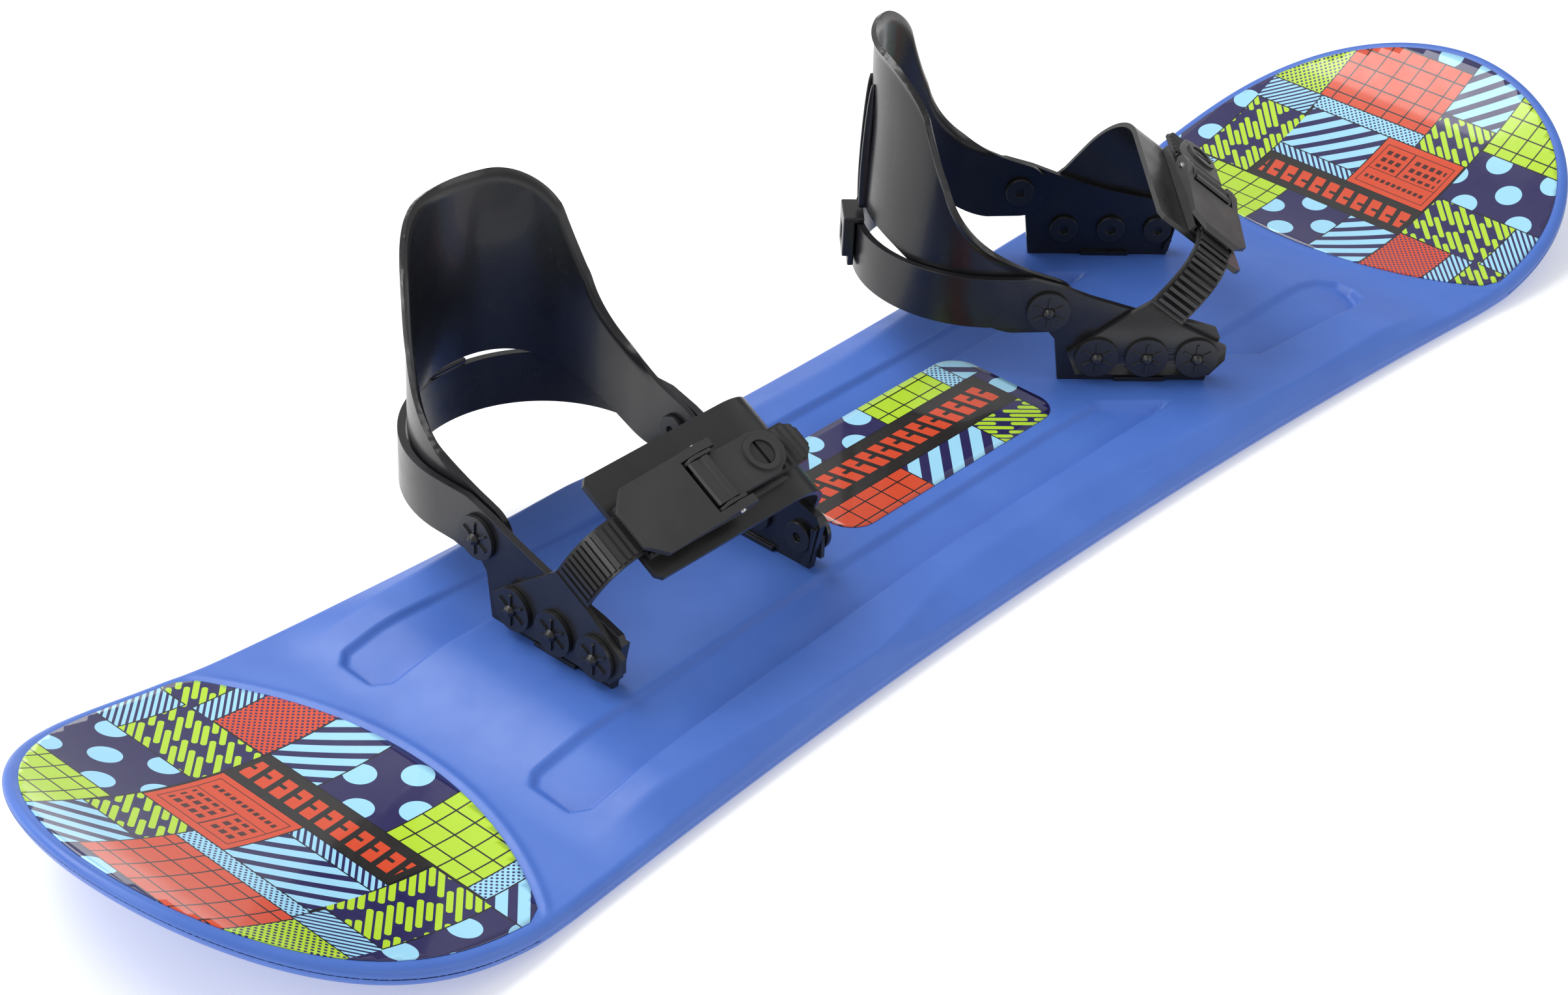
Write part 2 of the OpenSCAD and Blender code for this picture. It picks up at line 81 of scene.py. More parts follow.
class Shader:
    """One material, with short calls for the nodes that feed its surface."""

    def __init__(self, name, roughness=0.4, metallic=0.0, coat=0.0, coat_roughness=0.1):
        self.material = bpy.data.materials.new(name)
        self.material.use_nodes = True
        self.tree = self.material.node_tree
        self.tree.nodes.clear()
        self.surface = self.tree.nodes.new("ShaderNodeBsdfPrincipled")
        output = self.tree.nodes.new("ShaderNodeOutputMaterial")
        self.tree.links.new(self.surface.outputs["BSDF"], output.inputs["Surface"])
        self.surface.inputs["Roughness"].default_value = roughness
        self.surface.inputs["Metallic"].default_value = metallic
        self.surface.inputs["Coat Weight"].default_value = coat
        self.surface.inputs["Coat Roughness"].default_value = coat_roughness

    def put(self, socket, value):
        """Links an output or sets a constant on an input."""
        if isinstance(value, bpy.types.NodeSocket):
            self.tree.links.new(value, socket)
        else:
            socket.default_value = value

    def math(self, operation, *values):
        node = self.tree.nodes.new("ShaderNodeMath")
        node.operation = operation
        for socket, value in zip(node.inputs, values):
            self.put(socket, value)
        return node.outputs[0]

    def mix(self, factor, first, second):
        node = self.tree.nodes.new("ShaderNodeMix")
        node.data_type = "RGBA"
        self.put(node.inputs["Factor"], factor)
        self.put(node.inputs[6], first)
        self.put(node.inputs[7], second)
        return node.outputs[2]

    def place(self, scale=(1, 1, 1), turn=(0, 0, 0)):
        """Object coordinates in metres, turned and stretched."""
        coordinates = self.tree.nodes.new("ShaderNodeTexCoord")
        mapping = self.tree.nodes.new("ShaderNodeMapping")
        mapping.inputs["Scale"].default_value = scale
        mapping.inputs["Rotation"].default_value = turn
        self.tree.links.new(coordinates.outputs["Object"], mapping.inputs["Vector"])
        return mapping.outputs["Vector"]

    def noise(self, vector, scale, detail=3.0, roughness=0.55):
        node = self.tree.nodes.new("ShaderNodeTexNoise")
        self.put(node.inputs["Vector"], vector)
        node.inputs["Scale"].default_value = scale
        node.inputs["Detail"].default_value = detail
        node.inputs["Roughness"].default_value = roughness
        return node.outputs["Fac"]

    def span(self, value, low, high, to_low, to_high):
        """Value between low and high, spread over another range."""
        node = self.tree.nodes.new("ShaderNodeMapRange")
        ends = {"From Min": low, "From Max": high, "To Min": to_low, "To Max": to_high}
        for name, number in ends.items():
            node.inputs[name].default_value = number
        self.put(node.inputs["Value"], value)
        return node.outputs["Result"]

    def bump(self, height, distance, strength=1.0):
        node = self.tree.nodes.new("ShaderNodeBump")
        node.inputs["Strength"].default_value = strength
        node.inputs["Distance"].default_value = distance
        self.put(node.inputs["Height"], height)
        self.tree.links.new(node.outputs["Normal"], self.surface.inputs["Normal"])

    def scratches(self, turn, amount):
        """Thin straight scratches in one direction, 0 to 1."""
        streak = self.noise(self.place((14, 900, 200), (0, 0, turn)), 1.0, 2.0)
        patch = self.noise(self.place((30, 30, 30)), 1.0, 2.0)
        return self.math("MULTIPLY", self.span(streak, 0.66, 0.72, 0.0, amount),
                         self.span(patch, 0.5, 0.62, 0, 1))


def moulded(name, colour, light, roughness, spread, grain, depth, coat=0.0, ripple=0.0):
    """Moulded plastic: cloudy colour, grain in the surface and scuffs that catch the light."""
    shader = Shader(name, coat=coat, coat_roughness=0.06)
    cloud = shader.noise(shader.place((1, 1, 1)), 22.0, 4.0)
    scuff = shader.math("ADD", shader.scratches(0.4, 1.0), shader.scratches(2.1, 0.8))
    cloudy = shader.mix(shader.span(cloud, 0.35, 0.7, 0.0, 1.0), colour, light)
    scuffed = tuple(min(1.0, 1.5 * c + 0.012) for c in light[:3]) + (1.0,)
    shader.put(shader.surface.inputs["Base Color"],
               shader.mix(shader.math("MULTIPLY", scuff, 0.1), cloudy, scuffed))
    fine = shader.noise(shader.place((1, 1, 1)), grain, 2.0)
    rough = shader.span(shader.noise(shader.place((1, 1, 1)), 60.0, 5.0), 0.3, 0.7,
                        roughness - spread, roughness + spread)
    shader.put(shader.surface.inputs["Roughness"],
               shader.math("ADD", rough, shader.math("MULTIPLY", scuff, 0.12)))
    height = fine
    if ripple:
        wave = shader.noise(shader.place((1, 1, 1)), 26.0, 1.0)
        height = shader.math("ADD", fine, shader.math("MULTIPLY", wave, ripple))
    shader.bump(height, depth)
    return shader.material


def steel(name):
    """Turned steel pin, with fine marks round it."""
    shader = Shader(name, metallic=1.0)
    marks = shader.noise(shader.place((2500, 300, 300)), 1.0, 3.0)
    shader.put(shader.surface.inputs["Base Color"],
               shader.mix(marks, (0.42, 0.42, 0.43, 1), (0.66, 0.66, 0.67, 1)))
    shader.put(shader.surface.inputs["Roughness"], shader.span(marks, 0.3, 0.7, 0.25, 0.42))
    shader.bump(marks, 0.00003)
    return shader.material


# ---- printed patterns, drawn over the sticker's own flat coordinates in millimetres ----


class Print(Shader):
    """Glossy printed film whose pattern reads the mesh attribute "print"."""

    def __init__(self, name):
        super().__init__(name, roughness=0.22, coat=0.5, coat_roughness=0.05)
        attribute = self.tree.nodes.new("ShaderNodeAttribute")
        attribute.attribute_name = "print"
        split = self.tree.nodes.new("ShaderNodeSeparateXYZ")
        self.tree.links.new(attribute.outputs["Vector"], split.inputs["Vector"])
        self.x = split.outputs["X"]
        self.y = split.outputs["Y"]

    def along(self, angle):
        """Distance along a direction given in degrees."""
        turn = math.radians(angle)
        return self.math("ADD", self.math("MULTIPLY", self.x, math.cos(turn)),
                         self.math("MULTIPLY", self.y, math.sin(turn)))

    def residue(self, value, period, start=0.0):
        """Signed distance to the nearest multiple of the period."""
        turns = self.math("DIVIDE", self.math("SUBTRACT", value, start), period)
        centred = self.math("SUBTRACT", self.math("FRACT", self.math("ADD", turns, 0.5)), 0.5)
        return self.math("MULTIPLY", centred, period)

    def near(self, distance, limit):
        """1 where a signed distance is within the limit."""
        return self.math("LESS_THAN", self.math("ABSOLUTE", distance), limit)

    def stripes(self, angle, period, width, start=0.0):
        """Stripes that run at an angle in degrees."""
        return self.near(self.residue(self.along(angle + 90), period, start), width / 2)

    def grid(self, start, pitch, line):
        across = self.near(self.residue(self.x, pitch[0], start[0]), line / 2)
        up = self.near(self.residue(self.y, pitch[1], start[1]), line / 2)
        return self.math("MAXIMUM", across, up)

    def dots(self, start, pitch, radius):
        """Staggered round dots: one at start, and one at half a pitch both ways."""
        s = self.math("DIVIDE", self.math("SUBTRACT", self.x, start[0]), pitch[0])
        t = self.math("DIVIDE", self.math("SUBTRACT", self.y, start[1]), pitch[1])
        p = self.residue(self.math("ADD", s, t), 1.0)
        q = self.residue(self.math("SUBTRACT", s, t), 1.0)
        dx = self.math("MULTIPLY", self.math("ADD", p, q), pitch[0] / 2)
        dy = self.math("MULTIPLY", self.math("SUBTRACT", p, q), pitch[1] / 2)
        square = self.math("ADD", self.math("MULTIPLY", dx, dx), self.math("MULTIPLY", dy, dy))
        return self.math("LESS_THAN", square, radius * radius)

    def hashed(self, value, seed):
        """A number from 0 to 1 that looks random, for a whole number."""
        wave = self.math("SINE", self.math("ADD", self.math("MULTIPLY", value, 12.9898), seed))
        return self.math("FRACT", self.math("MULTIPLY", wave, 437.585))

    def dashes(self, angle, spacing=3.6, length=25.0, radius=1.3):
        """Round-ended dashes of mixed length in close rows."""
        s = self.along(angle)
        p = self.along(angle + 90)
        row = self.math("FLOOR", self.math("DIVIDE", p, spacing))
        off = self.residue(p, spacing, spacing / 2)
        shifted = self.math("ADD", self.math("DIVIDE", s, length),
                            self.math("MULTIPLY", self.hashed(row, 1.7), 5.0))
        cell = self.math("FLOOR", shifted)
        place = self.math("SUBTRACT", self.math("FRACT", shifted), 0.5)
        seed = self.math("ADD", self.math("MULTIPLY", row, 3.1), self.math("MULTIPLY", cell, 7.3))
        half = self.math("ADD", 0.2 * length,
                         self.math("MULTIPLY", self.hashed(seed, 0.3), 0.27 * length - radius))
        past = self.math("SUBTRACT", self.math("MULTIPLY", self.math("ABSOLUTE", place), length), half)
        past = self.math("MAXIMUM", past, 0.0)
        square = self.math("ADD", self.math("MULTIPLY", past, past), self.math("MULTIPLY", off, off))
        return self.math("LESS_THAN", square, radius * radius)

    def inside(self, x0, x1, y0, y1):
        """1 inside a rectangle."""
        across = self.near(self.math("SUBTRACT", self.x, (x0 + x1) / 2), (x1 - x0) / 2)
        up = self.near(self.math("SUBTRACT", self.y, (y0 + y1) / 2), (y1 - y0) / 2)
        return self.math("MULTIPLY", across, up)

    def outlined(self, x0, x1, y0, y1, line):
        """1 on the outline of a rectangle."""
        inner = self.inside(x0 + line, x1 - line, y0 + line, y1 - line)
        return self.math("MULTIPLY", self.inside(x0, x1, y0, y1), self.math("SUBTRACT", 1.0, inner))

    def finish(self, factor, ground, ink):
        """Ink over ground, with a faint mottle and fine scratches in the film."""
        mottle = self.noise(self.place((1, 1, 1)), 90.0, 4.0)
        shade = tuple(c * 0.82 for c in ground[:3]) + (1,)
        faded = self.mix(self.span(mottle, 0.35, 0.75, 0.0, 0.16), ground, shade)
        colour = self.mix(factor, faded, ink)
        self.put(self.surface.inputs["Base Color"], colour)
        haze = self.noise(self.place((1, 1, 1)), 45.0, 5.0)
        self.put(self.surface.inputs["Roughness"],
                 self.math("ADD", self.span(haze, 0.3, 0.7, 0.14, 0.3), self.scratches(0.9, 0.15)))
        self.bump(self.noise(self.place((1, 1, 1)), 120.0, 2.0), 0.00004)
        return self.material


def printed(kind, start=(0, 0), pitch=(10.7, 10.7)):
    """Material of one patch of the print."""
    sheet = Print("print_" + kind)
    if kind == "thick_up":
        return sheet.finish(sheet.stripes(45, pitch[0], pitch[0] * 0.56, start[0]), NAVY, ICE)
    if kind == "thick_down":
        return sheet.finish(sheet.stripes(-45, pitch[0], pitch[0] * 0.56, start[0]), NAVY, ICE)
    if kind == "thin_up":
        return sheet.finish(sheet.stripes(45, 2.6, 1.45), NAVY, ICE)
    if kind == "thin_down":
        return sheet.finish(sheet.stripes(-45, 2.6, 1.45), NAVY, ICE)
    if kind == "dashes_up":
        return sheet.finish(sheet.dashes(45), NAVY, LIME)
    if kind == "dashes_down":
        return sheet.finish(sheet.dashes(-45), NAVY, LIME)
    if kind == "lime_grid":
        return sheet.finish(sheet.grid(start, pitch, 0.8), LIME, INK)
    if kind == "red_grid":
        return sheet.finish(sheet.grid(start, pitch, 0.8), RED, INK)
    if kind == "navy_dots":
        return sheet.finish(sheet.dots(start, pitch, 6.8), NAVY, ICE)
    if kind == "red_pins":
        return sheet.finish(sheet.dots((0, 0), (3.0, 3.0), 0.62), RED, NAVY)
    if kind == "lime_pins":
        return sheet.finish(sheet.dots((0, 0), (3.2, 3.2), 0.7), LIME, NAVY)
    if kind == "ice_pins":
        return sheet.finish(sheet.dots((0, 0), (2.9, 2.9), 0.6), ICE, NAVY)
    if kind == "plain":
        return sheet.finish(0.0, INK, INK)
    raise ValueError(kind)


def printed_band(middle, half, reach, along_x):
    """Dark band with a row of slanted bars in place of lettering."""
    sheet = Print("print_band")
    across = sheet.math("SUBTRACT", sheet.y if along_x else sheet.x, middle)
    run = sheet.x if along_x else sheet.y
    slant = sheet.math("MULTIPLY", across, 0.22)
    moved = sheet.math("ADD" if along_x else "SUBTRACT", run, slant)
    bar = sheet.near(sheet.residue(moved, 8.9, 0.0), 3.0)
    notch_place = sheet.near(sheet.math("SUBTRACT", across, half * 0.15), half * 0.16)
    notch = sheet.math("MULTIPLY", notch_place, sheet.near(sheet.residue(moved, 8.9, 1.6), 2.2))
    shape = sheet.math("MULTIPLY", bar, sheet.math("SUBTRACT", 1.0, notch))
    centre = (reach[0] + reach[1]) / 2
    limits = sheet.math("MULTIPLY", sheet.near(across, half),
                        sheet.near(sheet.math("SUBTRACT", run, centre), (reach[1] - reach[0]) / 2))
    return sheet.finish(sheet.math("MULTIPLY", shape, limits), srgb(38, 35, 34), RED)


def printed_badge(x0, x1, y0, y1):
    """Red badge with thin frames and plain bars."""
    sheet = Print("print_badge")
    left, right, low, high = x0 + 4.2, x1 - 3.6, y0 + 3.0, y1 - 3.0
    split_x = left + 0.62 * (right - left)
    split_y = low + 0.42 * (high - low)
    lines = sheet.outlined(left, right, low, high, 0.5)
    for frame_lines in (sheet.outlined(left, split_x, low, split_y, 0.45),
                        sheet.outlined(left, split_x, split_y, high, 0.45)):
        lines = sheet.math("MAXIMUM", lines, frame_lines)
    rows = sheet.near(sheet.residue(sheet.x, 5.6, left + 5.2), 1.5)
    ticks = sheet.near(sheet.residue(sheet.y, 4.4, low), 1.4)
    bars = sheet.math("MULTIPLY", rows, ticks)
    inner = sheet.math("MAXIMUM", sheet.inside(left + 2.4, split_x - 2.2, low + 2.2, split_y - 2.2),
                       sheet.inside(left + 2.4, split_x - 2.2, split_y + 2.2, high - 2.2))
    side = sheet.math("MULTIPLY", sheet.near(sheet.math("SUBTRACT", sheet.x, (split_x + right) / 2), 1.3),
                      sheet.math("MULTIPLY", sheet.near(sheet.residue(sheet.y, 3.4, low), 1.1),
                                 sheet.inside(split_x, right, low + 2.6, high - 2.6)))
    words = sheet.math("MAXIMUM", sheet.math("MULTIPLY", bars, inner), side)
    return sheet.finish(sheet.math("MAXIMUM", lines, words), RED, srgb(70, 28, 26))


# ---- board, in millimetres ----

deck_low, deck_high = (Vector(corner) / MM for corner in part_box("board_deck"))
HALF_LENGTH = deck_high.x
TIP_HALF = 110.5
WAIST_HALF = 95.0
WIDE_X = 0.7274 * HALF_LENGTH
NOSE_START = 0.668 * HALF_LENGTH
THICKNESS = 9.5
PLATFORM_RISE = 7.0
TIP_TOP = THICKNESS - PLATFORM_RISE
TIP_RISE = deck_high.z - TIP_TOP
NOSE_POWER = 1.93
GROOVE_DEPTH = 6.0
GROOVE_WALL = 3.6
GROOVE_SHALLOW = 0.35
STICKER_T = 0.4
ARC_X = 487.0
ARC_R = 181.0
BEAD_GAP, BEAD_HEIGHT, BEAD_SPREAD = 3.4, 0.9, 1.7

HEEL_GROOVE = [(-288, 48), (-288, 67), (-281, 73), (-262, 73), (-150, 65), (-40, 61), (60, 60), (176, 60),
               (193, 43), (150, 40), (60, 37), (-40, 37), (-150, 38), (-262, 41), (-281, 41)]
TOE_GROOVE = [(-288, -45), (-288, -68), (-281, -74), (-262, -74), (-150, -66), (-40, -61), (60, -60),
              (124, -60), (97, -34), (60, -33), (-40, -34), (-150, -36), (-262, -40), (-281, -40)]
NOSE_GROOVE = [(160, -37), (190, -64), (262, -70), (278, -66), (284, -56), (284, -46), (276, -38),
               (262, -36)]
CREASE_X = [-302, -282, -135, -49, 15, 212, 302]
CREASE_Y = [86.0, 86.0, 90.0, 74.5, 74.5, 92.0, 94.0]


def ease(t):
    t = np.clip(t, 0.0, 1.0)
    return t * t * (3 - 2 * t)


def eased_steps(x, xs, ys):
    """Smooth interpolation that is level at each given point."""
    out = np.full_like(x, ys[0], dtype=float)
    for i in range(len(xs) - 1):
        out += (ys[i + 1] - ys[i]) * ease((x - xs[i]) / (xs[i + 1] - xs[i]))
    return out


def nose_height(x):
    t = np.clip((np.abs(x) - NOSE_START) / (HALF_LENGTH - NOSE_START), 0.0, None)
    return TIP_RISE * t**NOSE_POWER


def platform(x):
    return PLATFORM_RISE * (1 - ease((np.abs(x) - 248) / 54))


def deck_height(x):
    """Height of the deck's middle line."""
    return TIP_TOP + platform(x) + nose_height(x)


def half_width(x, margin=0.0):
    """Half the board's width at x, pulled in by a margin."""
    x = np.abs(np.asarray(x, float))
    side = WAIST_HALF - margin + (TIP_HALF - WAIST_HALF) * (x / WIDE_X) ** 2
    reach = HALF_LENGTH - margin - WIDE_X
    sine = np.clip((x - WIDE_X) / reach, 0.0, 1.0) ** (2.69 / 2)
    cosine = np.sqrt(np.clip(1 - sine**2, 0.0, 1.0))
    tip = (TIP_HALF - margin) * cosine ** (2 / 1.91)
    return np.where(x <= WIDE_X, side, tip)


def outline(margin=0.0, steps=220):
    """Plan outline as points, going round once."""
    end = HALF_LENGTH - margin
    xs = end * np.sin(np.linspace(-1, 1, steps) * math.pi / 2)
    ys = half_width(xs, margin)
    return np.concatenate([np.stack([xs, ys], 1), np.stack([xs[::-1], -ys[::-1]], 1)[1:-1]])


def distance_to(points, polygon):
    """Distance from each point to a closed polygon's edge."""
    best = np.full(len(points), 1e9)
    ends = np.roll(polygon, -1, axis=0)
    for a, b in zip(polygon, ends):
        edge = b - a
        square = float(edge @ edge)
        if square < 1e-12:
            continue
        t = np.clip(((points - a) @ edge) / square, 0, 1)
        gap = points - (a + t[:, None] * edge)
        best = np.minimum(best, np.einsum("ij,ij->i", gap, gap))
    return np.sqrt(best)


def is_inside(points, polygon):
    hit = np.zeros(len(points), bool)
    for (ax, ay), (bx, by) in zip(polygon, np.roll(polygon, -1, axis=0)):
        crosses = (ay > points[:, 1]) != (by > points[:, 1])
        with np.errstate(divide="ignore", invalid="ignore"):
            at = ax + (points[:, 1] - ay) * (bx - ax) / (by - ay)
        hit ^= crosses & (points[:, 0] < at)
    return hit


def crossings(xs, polygon, pick, blank):
    """Highest or lowest y of a closed polygon over each x."""
    out = np.full(len(xs), blank)
    for (ax, ay), (bx, by) in zip(polygon, np.roll(polygon, -1, axis=0)):
        if abs(bx - ax) < 1e-9:
            continue
        over = (xs >= min(ax, bx)) & (xs <= max(ax, bx))
        out[over] = pick(out[over], ay + (xs[over] - ax) * (by - ay) / (bx - ax))
    return out


def sunk(points, polygon, wall, depth):
    """How far a groove lowers each point: steep walls and a floor that falls towards the toe side."""
    polygon = np.array(polygon, float)
    low, high = polygon.min(0) - 1, polygon.max(0) + 1
    near = np.all((points > low) & (points < high), axis=1)
    out = np.zeros(len(points))
    close = points[near]
    gap = np.where(is_inside(close, polygon), distance_to(close, polygon), 0.0)
    top = crossings(close[:, 0], polygon, np.maximum, -1e3)
    bottom = crossings(close[:, 0], polygon, np.minimum, 1e3)
    fallen = np.clip((top - close[:, 1]) / np.maximum(top - bottom, 1.0), 0, 1)
    out[near] = depth * ease(gap / wall) * (GROOVE_SHALLOW + (1 - GROOVE_SHALLOW) * fallen)
    return out


def mesh_object(name, vertices, faces, materials):
    """Smooth-shaded object from vertices in millimetres."""
    mesh = bpy.data.meshes.new(name)
    mesh.from_pydata((np.asarray(vertices, float) * MM).tolist(), [], faces)
    mesh.polygons.foreach_set("use_smooth", [True] * len(mesh.polygons))
    for material in materials:
        mesh.materials.append(material)
    mesh.update()
    thing = bpy.data.objects.new(name, mesh)
    bpy.context.scene.collection.objects.link(thing)
    return thing


def build_deck(material):
    """Closed skin of the board: crowned platform, shoulders, grooves and a round edge."""
    rows, columns = 820, 220
    xs = HALF_LENGTH * np.sin(np.linspace(-1, 1, rows) * math.pi / 2)
    across = np.sin(np.linspace(-1, 1, columns) * math.pi / 2)
    x = np.repeat(xs, columns)
    y = (half_width(xs)[:, None] * across[None, :]).ravel()
    plan = np.stack([x, y], 1)
    edge = np.full(len(plan), 99.0)
    near = (np.abs(y) > half_width(x) - 14) | (np.abs(x) > HALF_LENGTH - 40)
    edge[near] = distance_to(plan[near], outline(0.0, 300))
    radius = THICKNESS / 2
    drop = radius - np.sqrt(np.clip(radius**2 - (radius - np.minimum(edge, radius)) ** 2, 0, None))
    crease = eased_steps(x, CREASE_X, CREASE_Y)
    slope_end = half_width(x) - 1.0
    fall = np.clip((np.abs(y) - crease) / np.maximum(slope_end - crease, 3.0), -0.15, 1.0)
    soft = np.where(fall < 0.15, (fall + 0.15) ** 2 / 0.6, fall)
    flat = TIP_TOP + nose_height(x) + platform(x) * (1 - soft)
    arc_gap = np.hypot(np.abs(x) - ARC_X, y) - ARC_R - BEAD_GAP
    bead = BEAD_HEIGHT * np.exp(-(arc_gap / BEAD_SPREAD) ** 2) * np.clip((edge - 3) / 5, 0, 1)
    grooves = sum(sunk(plan, g, GROOVE_WALL, GROOVE_DEPTH) for g in (HEEL_GROOVE, TOE_GROOVE, NOSE_GROOVE))
    top = flat - drop + bead - grooves
    under = flat - THICKNESS + drop
    count = rows * columns
    vertices = np.concatenate([np.stack([x, y, top], 1), np.stack([x, y, under], 1)])
    first = (np.arange(rows - 1)[:, None] * columns + np.arange(columns - 1)[None, :]).ravel()
    upper = np.stack([first, first + columns, first + columns + 1, first + 1], 1)
    lower = upper[:, ::-1] + count
    deck = mesh_object("deck_skin", vertices, np.concatenate([upper, lower]).tolist(), [material])
    weld(deck)
    return deck


def weld(thing, distance=0.002):
    """Joins vertices that lie together, so the skin is closed, and drops faces with no area."""
    shape = bmesh.new()
    shape.from_mesh(thing.data)
    bmesh.ops.remove_doubles(shape, verts=shape.verts, dist=distance * MM)
    bmesh.ops.dissolve_degenerate(shape, edges=shape.edges, dist=distance * MM)
    bmesh.ops.recalc_face_normals(shape, faces=shape.faces)
    for face in shape.faces:
        face.smooth = True
    shape.to_mesh(thing.data)
    shape.free()


# ---- stickers ----


def clip_cell(cell, polygon):
    """Part of a convex cell inside a convex polygon that runs anticlockwise."""
    points = cell
    for a, b in zip(polygon, polygon[1:] + polygon[:1]):
        if not points:
            break
        side = [(b[0] - a[0]) * (p[1] - a[1]) - (b[1] - a[1]) * (p[0] - a[0]) for p in points]
        kept = []
        for i, p in enumerate(points):
            q, here, there = points[i - 1], side[i], side[i - 1]
            if (here >= 0) != (there >= 0):
                t = there / (there - here)
                kept.append((q[0] + t * (p[0] - q[0]), q[1] + t * (p[1] - q[1])))
            if here >= 0:
                kept.append(p)
        points = kept
    return points


def lines_between(marks, low, high, step):
    """Cutting lines at every mark, and between them wherever a gap is wider than the step."""
    marks = sorted(set([low, high] + [m for m in marks if low < m < high]))
    out = [low]
    for a, b in zip(marks, marks[1:]):
        parts = max(1, math.ceil((b - a) / step))
        out += [a + (b - a) * i / parts for i in range(1, parts + 1)]
    return out


def build_sticker(name, shape, patches, flip, line=0.35, step=4.0):
    """Printed film cut to a convex outline, with one material for each patch of the print."""
    xs0, xs1 = min(p[0] for p in shape), max(p[0] for p in shape)
    ys0, ys1 = min(p[1] for p in shape), max(p[1] for p in shape)
    gap = [(x0 + line, x1 - line, y0 + line, y1 - line) for x0, x1, y0, y1, _ in patches]
    xs = lines_between([v for g in gap for v in g[:2]], xs0, xs1, step)
    ys = lines_between([v for g in gap for v in g[2:]], ys0, ys1, step)
    materials = [m for *_, m in patches] + [printed("plain")]
    polygon = [tuple(p) for p in shape]
    area = sum(a[0] * b[1] - a[1] * b[0] for a, b in zip(polygon, polygon[1:] + polygon[:1]))
    polygon = polygon if area > 0 else polygon[::-1]
    corners = np.array([(x, y) for x in xs for y in ys])
    inside = is_inside(corners, np.array(polygon)).reshape(len(xs), len(ys))
    index, vertices, faces, owners = {}, [], [], []

    def vertex(p):
        key = (round(p[0], 4), round(p[1], 4))
        if key not in index:
            index[key] = len(vertices)
            vertices.append(key)
        return index[key]

    for i in range(len(xs) - 1):
        for j in range(len(ys) - 1):
            cell = [(xs[i], ys[j]), (xs[i + 1], ys[j]), (xs[i + 1], ys[j + 1]), (xs[i], ys[j + 1])]
            if not inside[i:i + 2, j:j + 2].all():
                cell = clip_cell(cell, polygon)
            corner_ids = []
            for p in cell:
                v = vertex(p)
                if v not in corner_ids:
                    corner_ids.append(v)
            if len(corner_ids) < 3:
                continue
            mx, my = (xs[i] + xs[i + 1]) / 2, (ys[j] + ys[j + 1]) / 2
            owner = next((k for k, g in enumerate(gap) if g[0] < mx < g[1] and g[2] < my < g[3]),
                         len(patches))
            faces.append(corner_ids)
            owners.append(owner)
    flat = np.array(vertices)
    sign = -1.0 if flip else 1.0
    x, y = flat[:, 0] * sign, flat[:, 1] * sign
    z = deck_height(x) + STICKER_T
    film = mesh_object(name, np.stack([x, y, z], 1), faces, materials)
    film.data.polygons.foreach_set("material_index", owners)
    pattern = film.data.attributes.new("print", "FLOAT_VECTOR", "POINT")
    pattern.data.foreach_set("vector", np.stack([flat[:, 0], flat[:, 1], flat[:, 0] * 0], 1).ravel())
    thick = film.modifiers.new("thickness", "SOLIDIFY")
    thick.thickness = STICKER_T * MM * 0.9
    thick.offset = -1
    return film


def tip_shape():
    """Outline of the tail sticker: the board's outline less a margin, cut by an arc."""
    margin, corner = 6.0, 9.0
    reach = HALF_LENGTH - margin
    xs = -reach * np.sin(np.linspace(0, 1, 60) * math.pi / 2)
    xs = xs[np.abs(xs) > 300]
    side = np.stack([xs, half_width(xs, margin)], 1)
    side = side[np.hypot(side[:, 0] + ARC_X, side[:, 1]) < ARC_R - corner * 0.4]
    turn = math.atan2(side[0][1], side[0][0] + ARC_X)
    arc_turn = turn - corner / ARC_R
    arc = [(-ARC_X + ARC_R * math.cos(a), ARC_R * math.sin(a))
           for a in np.linspace(-arc_turn, arc_turn, 40)]
    upper = side.tolist()
    lower = [(px, -py) for px, py in upper[::-1]][1:]
    return arc + upper + lower


